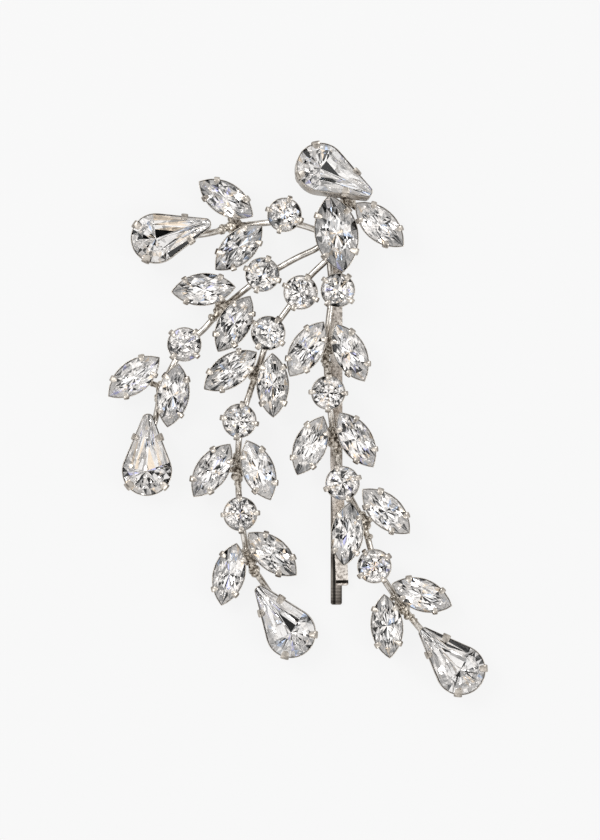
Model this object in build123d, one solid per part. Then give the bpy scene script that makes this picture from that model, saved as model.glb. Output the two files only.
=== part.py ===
from build123d import *

import os
from dataclasses import dataclass
from math import acos, atan2, ceil, cos, degrees, hypot, radians, sin, sqrt, tan

# A hair clip: a crimped spring pin that carries a spray of claw-set stones on wires.
# The pin lies along Y with its closed bow towards +Y, and the stones face +Z.
# The origin is on the underside of the pin's straight back leg, half way along it.
# All sizes are in millimetres and all angles in degrees.

# --- the pin
pin_length = 60.0            # straight back leg, tip to outside of the bow
strip_thickness = 0.45
back_leg_width = 1.75
front_leg_width = 1.9        # crimping spreads the strip a little
bow_height = 2.0             # outside of the bow, back face to front face
front_leg_setback = 3.0      # the front leg stops this far short of the back leg
front_leg_drift = 0.95       # its tip stands this far to one side of the back leg
drift_length = 19.0          # length of front leg that turns aside
crimp_pitch = 10.15
crimp_radius = 1.6
leg_gap = 0.05               # air between the low bends and the back leg
tip_rise = 0.6               # the front leg's tip is turned up this much
tip_run = 0.5
bow_straight = 8.0           # flat stretch of the front leg next to the bow
groove_width = 0.35          # shallow groove along the back leg
groove_depth = 0.08
groove_aside = -0.3          # from the leg's middle
grip_length = 3.0            # cross ridges by the back leg's tip
grip_pitch = 0.5
corner_radius = 0.35

# --- the stones, each size measured over its metal setting
chaton_diameter = 5.35
leaf_length, leaf_width = 10.1, 5.1
crown_leaf_length, crown_leaf_width = 12.3, 6.8
drop_length, drop_width = 12.8, 7.8
drop_tip_radius = 1.05
drop_tip_bend = 0.45         # where the girdle bends between a drop's tip and its flank
drop_end_sides = 5           # girdle sides round each half of a drop's broad end
girdle_band = 0.12
seat_inset = 0.2             # metal outside the stone's girdle
seat_clearance = 0.03

# --- the settings
cup_wall = 0.32
cup_floor = 0.3
cup_taper = 0.84             # size of a cup's base, as a share of its rim
culet_clearance = 0.12
rim_lip = 0.12               # rim above the stone's girdle
prong_foot = 0.3             # height at which the prongs leave the wall
prong_stand = 0.3            # prongs stand this far outside the wall
prong_shoulder = 0.35        # above the girdle's lower edge, where they turn inwards
prong_brow = 0.7             # and where they are bent right over
prong_chamfer = 0.2
prong_thickness = 0.3

# --- the wires
wire_diameter = 1.0
twig_diameter = 0.9
pad_diameter = 1.7           # solder pad between a wire and a cup's floor
pad_thickness = 0.15
wire_over_pin = 0.15         # air between the front leg and the wire above it
hub_diameter = 4.4
hub_from_bow = 2.55
hub_aside = -0.8             # the hub lies to one side of the pin's middle line
bend_share = 0.45            # share of a run that each bend may use up
widest_bend = 40.0           # bends gentler than this are made at this radius
girdle_points = 16

# The spray's plan was drawn for stones of these sizes. It spreads in proportion
# when a stone grows, so that neighbouring cups stay clear of each other.
plan_sizes = (5.35, 10.1, 5.1, 12.3, 6.8, 12.8, 7.8)
stone_sizes = (
    chaton_diameter, leaf_length, leaf_width, crown_leaf_length, crown_leaf_width, drop_length, drop_width
)
plan_spread = max(1.0, *[size / planned for size, planned in zip(stone_sizes, plan_sizes)])

wire_radius = wire_diameter / 2
bow_y = pin_length / 2
hub = (hub_aside, bow_y - hub_from_bow)
hub_level = bow_height + wire_over_pin + wire_radius
cup_above_wire = wire_radius + pad_thickness


# --- what stands along a wire, in plan, measured from the hub

@dataclass
class Bend:
    """A point that the wire passes, with nothing on it."""
    at: tuple


@dataclass
class Chaton:
    """A round stone and the turn of its prongs. Its wire runs under it, or where passing says."""
    at: tuple
    turn: float
    tilt: tuple
    passing: tuple = None


@dataclass
class Leaf:
    """One pointed stone of a pair: its middle, the way it points, and its tilt."""
    at: tuple
    bearing: float
    tilt: tuple = (0, 3)


@dataclass
class Pair:
    """Two leaves on a crossbar that meets the wire at a point."""
    at: tuple
    leaves: tuple


@dataclass
class Drop:
    """The pear stone that ends a branch, with the end of the wire under it."""
    at: tuple
    bearing: float
    wire_end: tuple
    tilt: tuple = (0, 0)


side_branch = [
    Bend((-4.6, 1.6)),
    Chaton((-7.2, 3.3), 27, (3, -3), passing=(-7.6, 2.2)),
    Pair((-15.3, 1.4), (Leaf((-16.3, 5.4), 147, (4, 4)), Leaf((-14.4, -1.7), -136, (-5, 3)))),
    Bend((-18.8, 0.3)),
    Drop((-27.2, -0.6), -164, (-23.8, -0.3), (2, 0)),
]
outer_branch = [
    Bend((-2.0, -2.0)),
    Bend((-5.4, -3.5)),
    Bend((-8.5, -5.3)),
    Chaton((-10.7, -6.3), 25, (-3, 2)),
    Pair((-16.8, -11.2), (Leaf((-19.7, -8.6), -176, (4, 3)), Leaf((-15.1, -13.6), -120, (-3, 4)))),
    Bend((-20.2, -15.1)),
    Chaton((-22.8, -16.8), 3, (4, 0)),
    Pair((-26.4, -23.6), (Leaf((-30.4, -22.0), -143, (3, 5)), Leaf((-24.7, -24.8), -100, (-4, 2)))),
    Bend((-27.2, -28.2)),
    Drop((-28.7, -36.6), -91, (-28.3, -31.8), (-2, 0)),
]
middle_branch = [
    Bend((-3.5, -6.5)),
    Chaton((-4.9, -8.9), 21, (2, 3)),
    Bend((-7.6, -12.6)),
    Chaton((-9.6, -15.2), 9, (0, -4)),
    Pair((-11.6, -21.5), (Leaf((-15.5, -21.1), -145, (3, 2)), Leaf((-9.2, -23.2), -89, (-3, 3)))),
    Chaton((-14.2, -28.9), 35, (-2, 0)),
    Pair((-14.6, -36.4), (Leaf((-18.3, -36.5), -125, (4, 4)), Leaf((-11.5, -36.5), -68, (-5, 2)))),
    Chaton((-14.2, -43.2), -42, (0, 3)),
    Pair((-12.9, -50.6), (Leaf((-15.7, -52.5), -104, (3, 5)), Leaf((-9.3, -49.5), -41, (-2, 3)))),
    Bend((-10.1, -54.8)),
    Drop((-6.2, -61.7), -54, (-8.2, -57.7), (2, 0)),
]
pin_branch = [
    Bend((-0.3, -4.2)),
    Chaton((1.1, -8.5), 7, (2, -2), passing=(0.2, -8.2)),
    Bend((-0.4, -13.4)),
    Pair((-0.9, -18.0), (Leaf((-3.6, -17.7), -122, (4, 3)), Leaf((2.7, -18.2), -63, (-4, 4)))),
    Chaton((-0.4, -24.6), 43, (-3, 1)),
    Pair((0.4, -32.0), (Leaf((-3.1, -32.6), -114, (3, 3)), Leaf((3.7, -31.7), -58, (-3, 4)))),
    Chaton((1.7, -38.4), -26, (2, 2)),
    Pair((5.1, -44.7), (Leaf((2.6, -46.3), -96, (3, 2)), Leaf((8.3, -42.9), -43, (-4, 3)))),
    Chaton((6.8, -51.5), -11, (-2, -3)),
    Pair((11.1, -57.8), (Leaf((8.8, -60.6), -85, (4, 3)), Leaf((13.8, -55.9), -20, (-3, 6)))),
    Bend((14.0, -61.4)),
    Drop((20.0, -67.6), -46, (16.8, -64.4), (-2, 0)),
]
crown_leaves = (Leaf((0.8, 0.2), -80, (0, 0)), Leaf((7.3, 1.6), -42, (-3, 4)))
crown_knee = (2.9, 5.0)      # where the wire to the crown's drop turns up
crown_drop = Drop((-1.9, 9.8), 152, (0.4, 8.7), (14, 0))
crown_lift = 1.9             # the crown's drop sits this much above its leaves
middle_branch_start = (-0.4, -3.6)
pin_branch_droop = 0.6       # this branch stays level over the pin for this share of its length


# --- the three cuts of stone

class RoundCut:
    """A round outline about the origin."""

    def __init__(self, diameter, crown, pavilion, table_share, prongs, prong_width, prong_reach):
        self.radius = diameter / 2
        self.crown, self.pavilion, self.table_share = crown, pavilion, table_share
        self.prongs, self.prong_width, self.prong_reach = prongs, prong_width, prong_reach
        self.half_width = self.radius

    def angles(self):
        return [360 * step / girdle_points for step in range(girdle_points)]

    def outline(self, inset):
        return Circle(self.radius - inset)

    def reach(self, angle, inset=0.0):
        """Distance from the origin to the outline, in the direction of angle."""
        return self.radius - inset

    def facing(self, angle):
        """Direction that the outline faces at angle."""
        return angle


class LeafCut(RoundCut):
    """A pointed outline of two equal arcs, with its points on the X axis."""

    def __init__(self, length, width, *proportions):
        super().__init__(width, *proportions)
        self.half_length = length / 2
        self.arc = (self.half_length**2 + self.half_width**2) / width
        self.arc_offset = self.arc - self.half_width

    def angles(self):
        return [
            degrees(atan2(self.half_width * sin(radians(turn)), self.half_length * cos(radians(turn))))
            for turn in super().angles()
        ]

    def outline(self, inset):
        arcs = [Pos(0, side * self.arc_offset) * Circle(self.arc - inset) for side in (1, -1)]
        return arcs[0] & arcs[1]

    def reach(self, angle, inset=0.0):
        rise = self.arc_offset * abs(sin(radians(angle)))
        run = self.arc_offset * cos(radians(angle))
        return sqrt((self.arc - inset) ** 2 - run**2) - rise

    def facing(self, angle):
        reach = self.reach(angle)
        side = 1 if sin(radians(angle)) > 0 else -1
        x, y = reach * cos(radians(angle)), reach * sin(radians(angle))
        return degrees(atan2(y + side * self.arc_offset, x))


class DropCut(RoundCut):
    """A big circle about the origin, drawn out to a small one on the -X side."""

    def __init__(self, length, width, tip_radius, *proportions):
        super().__init__(width, *proportions)
        self.tip_radius = tip_radius
        self.tip_offset = length - self.radius - tip_radius
        self.flank = degrees(acos((self.radius - tip_radius) / self.tip_offset))

    def from_tip(self, facing, inset=0.0):
        """Turn from the -X axis to the small circle's point that faces so."""
        radius = self.tip_radius - inset
        along = self.tip_offset + radius * cos(radians(facing))
        return degrees(atan2(radius * sin(radians(facing)), along))

    def angles(self):
        """Directions of the girdle's corners: close on both arcs, none on the flanks."""
        tip = [0.0, self.from_tip(drop_tip_bend * self.flank), self.from_tip(self.flank)]
        side_turn = (180 - self.flank) / drop_end_sides
        round_end = [self.flank + side_turn * step for step in range(drop_end_sides)]
        half = tip + round_end
        return [180 + turn for turn in half + [180.0] + [-turn for turn in reversed(half[1:])]]

    def outline(self, inset):
        small = Pos(-self.tip_offset, 0) * Circle(self.tip_radius - inset)
        return make_hull([*Circle(self.radius - inset).edges(), *small.edges()])

    def reach(self, angle, inset=0.0):
        turn = abs(angle % 360 - 180)
        if turn >= self.flank:
            return self.radius - inset
        if turn >= self.from_tip(self.flank, inset):
            return (self.radius - inset) / cos(radians(turn - self.flank))
        aside = self.tip_offset * sin(radians(turn))
        return self.tip_offset * cos(radians(turn)) + sqrt((self.tip_radius - inset) ** 2 - aside**2)

    def facing(self, angle):
        turn = angle % 360 - 180
        if abs(turn) >= self.flank:
            return angle
        return 180 + (self.flank if turn > 0 else -self.flank)


# Crown height, pavilion depth, table share, then the prongs: where they stand round the
# outline, how wide they are, and how far they fold in over the stone.
chaton = RoundCut(chaton_diameter, 0.95, 2.0, 0.56, (45, 135, 225, 315), 0.75, 0.6)
leaf = LeafCut(leaf_length, leaf_width, 1.0, 1.8, 0.5, (33, 147, 213, 327), 0.9, 0.75)
crown_leaf = LeafCut(crown_leaf_length, crown_leaf_width, 1.3, 2.1, 0.5, (38, 142, 218, 322), 1.1, 0.9)
drop = DropCut(drop_length, drop_width, drop_tip_radius, 1.5, 2.4, 0.52, (50, 310, 158, 202), 1.2, 0.95)


def seat_level(cut):
    """Height of the girdle's lower edge above the cup's base."""
    return cup_floor + culet_clearance + cut.pavilion


# --- stones and settings, each with its base on Z = 0

def faceted(cut, inset, crown, pavilion):
    """A closed stone shape: flat table, crown facets, girdle band and pavilion to a point."""
    corners = [
        (cut.reach(angle, inset) * cos(radians(angle)), cut.reach(angle, inset) * sin(radians(angle)))
        for angle in cut.angles()
    ]
    low = seat_level(cut)
    high = low + girdle_band
    culet = (0, 0, low - pavilion)
    share = cut.table_share
    faces = [Face(Wire.make_polygon([(x * share, y * share, high + crown) for x, y in corners]))]
    for (x, y), (to_x, to_y) in zip(corners, corners[1:] + corners[:1]):
        top = [(to_x * share, to_y * share, high + crown), (x * share, y * share, high + crown)]
        faces.append(Face(Wire.make_polygon([(x, y, high), (to_x, to_y, high), *top])))
        edge = [(x, y, low), (to_x, to_y, low)]
        faces.append(Face(Wire.make_polygon([*edge, (to_x, to_y, high), (x, y, high)])))
        faces.append(Face(Wire.make_polygon([*edge, culet])))
    return Solid(Shell(faces))


def make_stone(cut):
    return faceted(cut, seat_inset, cut.crown, cut.pavilion)


def tapered(cut, inset, bottom, top):
    """The cup's outline between two heights, narrowing towards the base."""
    rim = seat_level(cut) + girdle_band + rim_lip
    shares = [cup_taper + (1 - cup_taper) * level / rim for level in (bottom, top)]
    ends = [
        Pos(0, 0, level) * scale(cut.outline(inset), by=share)
        for level, share in zip((bottom, top), shares)
    ]
    return loft(ends, ruled=True)


def make_prong(cut, angle):
    """A strap up the cup's side that folds in over the stone's crown."""
    seat = seat_level(cut)
    lean = (1 - cup_taper) * cut.half_width
    slope = cut.crown / ((1 - cut.table_share) * cut.half_width)
    inner = -cut.prong_reach
    fold = seat + girdle_band + slope * (cut.prong_reach - seat_inset)
    profile = Polyline(
        (-lean - cup_wall, prong_foot),
        (-lean + prong_stand, prong_foot),
        (prong_stand, seat),
        (prong_stand, seat + prong_shoulder),
        (prong_stand - prong_chamfer, seat + prong_brow),
        (inner, fold + prong_thickness),
        (inner, fold - prong_thickness),
        (-seat_inset, seat),
        close=True,
    )
    strap = extrude(Plane.XZ * make_face(profile), amount=cut.prong_width / 2, both=True)
    reach = cut.reach(angle)
    foot = Pos(reach * cos(radians(angle)), reach * sin(radians(angle)), 0)
    return foot * Rot(0, 0, cut.facing(angle)) * strap


def make_setting(cut):
    """A stamped cup with a floor, a tapered wall and its prongs folded over the stone."""
    seat = seat_level(cut)
    cup = tapered(cut, 0, 0, seat + girdle_band + rim_lip) - tapered(cut, cup_wall, cup_floor, seat)
    for angle in cut.prongs:
        cup += make_prong(cut, angle)
    pocket = faceted(cut, seat_inset - seat_clearance, cut.crown, cut.pavilion + seat_clearance)
    return cup - pocket


# --- the wires' routes

def route_points(branch, start):
    """The plan points that a branch's wire runs through, from start outwards."""
    points = [start]
    for station in branch:
        passing = getattr(station, "passing", None) or getattr(station, "wire_end", None)
        points.append(passing or station.at)
    return points


def lifted(points, droop_from):
    """Give each plan point its height: level from the hub, then down to the table."""
    plan = [(hub[0] + plan_spread * x, hub[1] + plan_spread * y) for x, y in points]
    walked = [0.0]
    for (x, y), (to_x, to_y) in zip(plan, plan[1:]):
        walked.append(walked[-1] + hypot(to_x - x, to_y - y))
    drop_start, drop_end = droop_from * walked[-1], walked[-2]
    heights = []
    for distance in walked:
        share = min(max((distance - drop_start) / (drop_end - drop_start), 0.0), 1.0)
        heights.append(hub_level - (hub_level - wire_radius) * share * share * (3 - 2 * share))
    return [Vector(x, y, z) for (x, y), z in zip(plan, heights)]


def bend_radii(points):
    """A radius for each corner, as large as its two runs allow."""
    radii = []
    for before, corner, after in zip(points, points[1:], points[2:]):
        arriving, leaving = corner - before, after - corner
        turn = arriving.get_angle(leaving)
        shorter = min(arriving.length, leaving.length)
        radii.append(min(bend_share * shorter / tan(radians(turn / 2)), widest_bend))
    return radii


def rod(start, end, diameter):
    axis = end - start
    return Plane(origin=start, z_dir=axis) * Cylinder(
        diameter / 2, axis.length, align=(Align.CENTER, Align.CENTER, Align.MIN)
    )


def bent_wire(points):
    """A round wire of straight runs joined by tangent arcs."""
    path = FilletPolyline(*points, radius=bend_radii(points))
    section = Plane(origin=path @ 0, z_dir=path % 0) * Circle(wire_radius)
    return sweep(section, path=path)


# --- placing cups on the wires

def seat_place(at, wire_level, bearing, tilt, lift=0.0):
    """Where a cup's base stands: over a wire at a height, turned and tilted."""
    x, y = hub[0] + plan_spread * at[0], hub[1] + plan_spread * at[1]
    level = wire_level + cup_above_wire + lift
    return Pos(x, y, level) * Rot(0, 0, bearing) * Rot(tilt[0], tilt[1], 0)


def anchor(place):
    """The point under a cup's base that its wire or twig reaches."""
    return (place * Pos(0, 0, -cup_above_wire)).position


def pad(place):
    """Solder between a cup's base and the wire under it."""
    return place * Cylinder(
        pad_diameter / 2, cup_above_wire, align=(Align.CENTER, Align.CENTER, Align.MAX)
    )


# --- the pin

def bow_arc(side):
    """Half of the bow's middle line, in side view: the upper half where side is 1."""
    radius = (bow_height - strip_thickness) / 2
    middle = (bow_y - strip_thickness / 2 - radius, bow_height / 2)
    return CenterArc(middle, radius, 0, 90 * side)


def bow_end(side):
    """Where the bow meets a leg's middle line."""
    end = bow_arc(side) @ 1
    return end.X, end.Y


def crimp_points():
    """The front leg's middle line in side view: tip, low and high bends, flat by the bow."""
    low = 1.5 * strip_thickness + leg_gap
    flat = bow_height - strip_thickness / 2
    high = flat - leg_gap
    tip = front_leg_setback - bow_y + strip_thickness / 2
    last_low = tip + tip_run
    flat_end = bow_y - bow_straight
    points = [(tip, low + tip_rise), (last_low, low)]
    for crimp in range(int((flat_end - last_low) / crimp_pitch - 0.5)):
        points.append((last_low + (crimp + 0.5) * crimp_pitch, high))
        points.append((last_low + (crimp + 1) * crimp_pitch, low))
    return points + [(flat_end, flat), bow_end(1)]


def strip_side(path, side):
    """The strip seen from the side, thickened about its middle line, ending at the bow's split."""
    outline = make_face(offset(path, amount=strip_thickness / 2, side=Side.BOTH))
    past_split = Pos(bow_y, bow_height / 2) * Rectangle(
        2 * strip_thickness, bow_height, align=(Align.CENTER, Align.MAX if side > 0 else Align.MIN)
    )
    return extrude(Plane.YZ * (outline - past_split), amount=2 * bow_height, both=True)


def strip_plan(width, tip_y, drift):
    """The strip seen from above: from the bow to its own width, then turned aside by its tip."""
    stations = [
        (bow_y, back_leg_width / 2, 0.0),
        (bow_y - bow_height, back_leg_width / 2, 0.0),
        (bow_y - bow_straight, width / 2, 0.0),
        (tip_y + drift_length, width / 2, 0.0),
        (tip_y, width / 2, drift),
    ]
    left = [(middle - half, y) for y, half, middle in stations]
    right = [(middle + half, y) for y, half, middle in reversed(stations)]
    outline = make_face(Polyline(*left, *right, close=True))
    tips = [vertex for vertex in outline.vertices() if abs(vertex.Y - tip_y) < corner_radius]
    return extrude(fillet(tips, radius=corner_radius), amount=2 * bow_height)


def make_front_leg():
    points = crimp_points()
    path = FilletPolyline(*points, radius=[tip_run / 2] + [crimp_radius] * (len(points) - 3))
    side_view = strip_side(Wire([*path.edges(), *bow_arc(1).edges()]), 1)
    return side_view & strip_plan(front_leg_width, front_leg_setback - bow_y, front_leg_drift)


def make_back_leg():
    """The straight leg, grooved along its middle, with cross ridges by its tip."""
    level = strip_thickness / 2
    path = Line((level - bow_y, level), bow_end(-1))
    leg = strip_side(Wire([path, *bow_arc(-1).edges()]), -1)
    leg &= strip_plan(back_leg_width, -bow_y, 0.0)
    groove_length = pin_length - grip_length - bow_straight
    cuts = [
        Pos(groove_aside, grip_length - bow_y, strip_thickness)
        * Box(groove_width, groove_length, 2 * groove_depth, align=(Align.CENTER, Align.MIN, Align.CENTER))
    ]
    for ridge in range(1, ceil(grip_length / grip_pitch)):
        place = Pos(0, ridge * grip_pitch - bow_y, strip_thickness)
        cuts.append(place * Box(back_leg_width, grip_pitch / 2, 2 * groove_depth))
    return leg - cuts


# --- assembling the branches

cuts_of_stone = {"chaton": chaton, "leaf": leaf, "crown_leaf": crown_leaf, "drop": drop}
stones = {name: make_stone(cut) for name, cut in cuts_of_stone.items()}
settings = {name: make_setting(cut) for name, cut in cuts_of_stone.items()}
cup_blocks = {name: tapered(cut, 0, 0, seat_level(cut)) for name, cut in cuts_of_stone.items()}
nodes = {}        # name of each node, and its solids
blocks = []       # the space that the cups take out of the wires and the solder


def add_stones(name, *cups):
    """Add a stone node and a setting node, with one solid in each for every cup's kind and place."""
    plural = "s" if len(cups) > 1 else ""
    nodes[f"{name}_stone{plural}"] = [place * stones[kind] for kind, place in cups]
    nodes[f"{name}_setting{plural}"] = [place * settings[kind] for kind, place in cups]
    blocks.extend(place * cup_blocks[kind] for kind, place in cups)


def under_drop(station, place):
    """The spot on a drop's base that stands over the end of its wire."""
    away = Vector(*station.wire_end) - Vector(*station.at)
    local = away.rotate(Axis.Z, -station.bearing) * plan_spread
    return place * Pos(local.X, local.Y, 0)


def furnish(name, branch, points):
    """Stand a branch's cups on its wire and return the metal that carries them."""
    metal = []
    chatons, pairs = 0, 0
    for station, point in zip(branch, points):
        if isinstance(station, Chaton):
            chatons += 1
            place = seat_place(station.at, point.Z, station.turn, station.tilt)
            add_stones(f"{name}_chaton_{chatons}", ("chaton", place))
            metal.append(pad(place))
            if station.passing:
                metal.append(rod(point, anchor(place), twig_diameter))
        elif isinstance(station, Pair):
            pairs += 1
            places = [seat_place(part.at, point.Z, part.bearing, part.tilt) for part in station.leaves]
            add_stones(f"{name}_leaf_pair_{pairs}", *[("leaf", place) for place in places])
            metal += [pad(place) for place in places]
            metal += [rod(point, anchor(place), twig_diameter) for place in places]
        elif isinstance(station, Drop):
            place = seat_place(station.at, point.Z, station.bearing, station.tilt)
            add_stones(f"{name}_drop", ("drop", place))
            metal.append(pad(under_drop(station, place)))
    return metal


def fused(pieces):
    whole = pieces[0]
    for piece in pieces[1:]:
        whole += piece
    return whole


def make_branch(name, branch, start, droop_from):
    points = lifted(route_points(branch, start), droop_from)
    return fused([bent_wire(points), *furnish(name, branch, points[1:])])


def make_crown():
    """The hub on the front leg, and the wires to the crown's two leaves and raised drop."""
    middle = Vector(*hub, hub_level)
    knee = Vector(hub[0] + plan_spread * crown_knee[0], hub[1] + plan_spread * crown_knee[1], hub_level)
    places = [seat_place(part.at, hub_level, part.bearing, part.tilt) for part in crown_leaves]
    add_stones("crown_leaf", ("crown_leaf", places[0]), ("leaf", places[1]))
    drop_place = seat_place(crown_drop.at, hub_level, crown_drop.bearing, crown_drop.tilt, crown_lift)
    add_stones("crown_drop", ("drop", drop_place))
    end_place = under_drop(crown_drop, drop_place)
    hub_height = hub_level + cup_above_wire - bow_height
    hub_disc = Pos(*hub, bow_height + hub_height / 2) * Cylinder(hub_diameter / 2, hub_height)
    wire = bent_wire([middle, knee, anchor(end_place)])
    twig = rod(knee, anchor(places[1]), twig_diameter)
    return [hub_disc, wire, twig, pad(places[1]), pad(end_place)]


crown_metal = make_crown()
main_stem = fused([make_branch("pin", pin_branch, (0, 0), pin_branch_droop), *crown_metal])
side_stems = {
    "side_stem": make_branch("side", side_branch, (0, 0), 0.0),
    "outer_stem": make_branch("outer", outer_branch, (0, 0), 0.0),
    "middle_stem": make_branch("middle", middle_branch, middle_branch_start, 0.0),
}
nodes["main_stem"] = (main_stem - blocks).solids()
for name, stem in side_stems.items():
    nodes[name] = (stem - [main_stem, *blocks]).solids()
nodes["pin_front_leg"] = make_front_leg().solids()
nodes["pin_back_leg"] = make_back_leg().solids()

os.makedirs("parts", exist_ok=True)
for name, solids in nodes.items():
    export_step(solids[0] if len(solids) == 1 else Compound(children=solids), f"parts/{name}.step")
    print(name, len(solids), round(sum(solid.volume for solid in solids), 2))
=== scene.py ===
import math
import random

import bmesh
import bpy
from mathutils import Matrix, Vector, noise


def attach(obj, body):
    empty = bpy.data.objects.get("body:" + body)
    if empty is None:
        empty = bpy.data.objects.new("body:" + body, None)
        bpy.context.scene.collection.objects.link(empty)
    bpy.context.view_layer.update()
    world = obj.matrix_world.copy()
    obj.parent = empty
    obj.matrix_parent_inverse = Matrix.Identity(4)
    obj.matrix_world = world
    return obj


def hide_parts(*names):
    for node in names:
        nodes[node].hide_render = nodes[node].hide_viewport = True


# A hair clip with claw-set stones on silver wires. Sizes in the dictionaries are in millimetres.

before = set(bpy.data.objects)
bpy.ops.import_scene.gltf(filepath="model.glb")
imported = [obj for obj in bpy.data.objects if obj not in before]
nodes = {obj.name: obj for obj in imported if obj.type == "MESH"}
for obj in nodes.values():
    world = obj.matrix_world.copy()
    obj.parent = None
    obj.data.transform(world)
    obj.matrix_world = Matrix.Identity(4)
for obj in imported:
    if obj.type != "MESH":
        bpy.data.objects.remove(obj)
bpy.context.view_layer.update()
mm = 0.001
weldGap = 0.002 * mm        # corners closer than this are one corner
print("frame loaded:", len(nodes), "nodes")


# Small helpers

def addNode(tree, kind, **settings):
    node = tree.nodes.new(kind)
    for key, value in settings.items():
        setattr(node, key, value)
    return node


def fillRamp(ramp, stops, interpolation="LINEAR"):
    stops = list(stops)
    ramp.color_ramp.interpolation = interpolation
    points = ramp.color_ramp.elements
    while len(points) < len(stops):
        points.new(1.0)
    for point, (place, colour) in zip(points, stops):
        point.position = place
        point.color = (*colour, 1.0)


def grey(level):
    return (level, level, level)


def makeSpan(tree, source, low, high, kind="LINEAR"):
    # spreads the values between low and high over 0 to 1
    span = addNode(tree, "ShaderNodeMapRange", interpolation_type=kind)
    span.inputs["From Min"].default_value = low
    span.inputs["From Max"].default_value = high
    tree.links.new(source, span.inputs["Value"])
    return span


def makeNoise(tree, place, scale, detail=2.0):
    # a noise over the object's own coordinates
    texture = addNode(tree, "ShaderNodeTexNoise")
    texture.inputs["Scale"].default_value = scale
    texture.inputs["Detail"].default_value = detail
    tree.links.new(place.outputs["Object"], texture.inputs["Vector"])
    return texture


def multiply(tree, first, second):
    # one colour times another
    mix = addNode(tree, "ShaderNodeMix", data_type="RGBA", blend_type="MULTIPLY")
    mix.inputs["Factor"].default_value = 1.0
    tree.links.new(first, mix.inputs["A"])
    tree.links.new(second, mix.inputs["B"])
    return mix.outputs["Result"]


def makeMaterial(name):
    material = bpy.data.materials.new(name)
    material.use_nodes = True
    return material, material.node_tree.nodes["Principled BSDF"]


def makeSockets(tree, inputs, outputs):
    # named sockets of a node group; gives back each input's identifier
    for name, kind in outputs:
        tree.interface.new_socket(name=name, in_out="OUTPUT", socket_type="NodeSocket" + kind)
    return {name: tree.interface.new_socket(name=name, in_out="INPUT",
                                            socket_type="NodeSocket" + kind).identifier
            for name, kind in inputs}


def addToScene(name, data):
    thing = bpy.data.objects.new(name, data)
    bpy.context.scene.collection.objects.link(thing)
    return thing


# Finishes. Colours are linear, and noise scales are in waves per metre.

handlingInputs = ("Patch Scale", "Scuff Scale", "Low Roughness", "High Roughness")
handlingLook = {
    "facingUpTilt": (0.35, 0.9),    # faces that look up this much are spared the painted shade on the sides
    "patchDetail": 3.0,
    "patchSpan": (0.3, 0.7),        # the patches' noise, from smooth to rough
    "patchTones": (0.3, 0.62),      # and from the dark colour to the light one
    "scuffDetail": 5.0,
    "scuffWarp": 0.6,
}


def makeHandlingGroup():
    # fine scuffs and hazy patches that thumbs and a polishing wheel leave on plated metal, and how
    # far each face looks up, which keeps the painted shade to the sides
    group = bpy.data.node_groups.new("handling", "ShaderNodeTree")
    makeSockets(group, [(name, "Float") for name in handlingInputs],
                [(name, "Float") for name in ("Roughness", "Patches", "Height", "Facing Up")])
    given = addNode(group, "NodeGroupInput")
    result = addNode(group, "NodeGroupOutput")
    place = addNode(group, "ShaderNodeTexCoord")
    facing = addNode(group, "ShaderNodeNewGeometry")
    upward = addNode(group, "ShaderNodeSeparateXYZ")
    link = group.links.new
    link(facing.outputs["Normal"], upward.inputs["Vector"])
    facingUp = makeSpan(group, upward.outputs["Z"], *handlingLook["facingUpTilt"], "SMOOTHSTEP")
    patches = makeNoise(group, place, 1.0, handlingLook["patchDetail"])
    scuffs = makeNoise(group, place, 1.0, handlingLook["scuffDetail"])
    scuffs.inputs["Distortion"].default_value = handlingLook["scuffWarp"]
    spread = makeSpan(group, patches.outputs["Fac"], *handlingLook["patchSpan"], "SMOOTHSTEP")
    link(given.outputs["Patch Scale"], patches.inputs["Scale"])
    link(given.outputs["Scuff Scale"], scuffs.inputs["Scale"])
    link(given.outputs["Low Roughness"], spread.inputs["To Min"])
    link(given.outputs["High Roughness"], spread.inputs["To Max"])
    link(spread.outputs["Result"], result.inputs["Roughness"])
    link(patches.outputs["Fac"], result.inputs["Patches"])
    link(scuffs.outputs["Fac"], result.inputs["Height"])
    link(facingUp.outputs["Result"], result.inputs["Facing Up"])
    return group


handlingGroup = makeHandlingGroup()


def makePlating(name, look):
    # plated metal: a base colour that drifts with the patches, with painted shade on the faces that
    # don't look up
    material, shader = makeMaterial(name)
    tree = material.node_tree
    shader.inputs["Metallic"].default_value = 1.0
    handling = addNode(tree, "ShaderNodeGroup", node_tree=handlingGroup)
    for key in handlingInputs:
        handling.inputs[key].default_value = look[key]
    colours = addNode(tree, "ShaderNodeValToRGB")
    fillRamp(colours, zip(handlingLook["patchTones"], (look["dark"], look["light"])))
    bump = addNode(tree, "ShaderNodeBump")
    bump.inputs["Strength"].default_value = look["bump"]
    bump.inputs["Distance"].default_value = look["bumpDepth"] * mm
    # painted shade: where a face doesn't look up, its colour is multiplied by the look's side tint
    shaded = addNode(tree, "ShaderNodeMix", data_type="RGBA", blend_type="MULTIPLY")
    shaded.inputs["B"].default_value = (*look["sides"], 1)
    sides = addNode(tree, "ShaderNodeMath", operation="SUBTRACT")
    sides.inputs[0].default_value = 1.0
    link = tree.links.new
    link(handling.outputs["Facing Up"], sides.inputs[1])
    link(sides.outputs["Value"], shaded.inputs["Factor"])
    link(handling.outputs["Patches"], colours.inputs["Fac"])
    link(colours.outputs["Color"], shaded.inputs["A"])
    colour, rough = shaded.outputs["Result"], handling.outputs["Roughness"]
    if "solder" in look:
        colour, rough = addSolder(tree, look["solder"], colour, rough)
    # painted shade, where a look asks for it
    if "paintedShade" in look:
        colour = addPaintedShade(tree, look["paintedShade"], colour)
    link(colour, shader.inputs["Base Color"])
    link(rough, shader.inputs["Roughness"])
    link(handling.outputs["Height"], bump.inputs["Height"])
    link(bump.outputs["Normal"], shader.inputs["Normal"])
    return material


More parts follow.
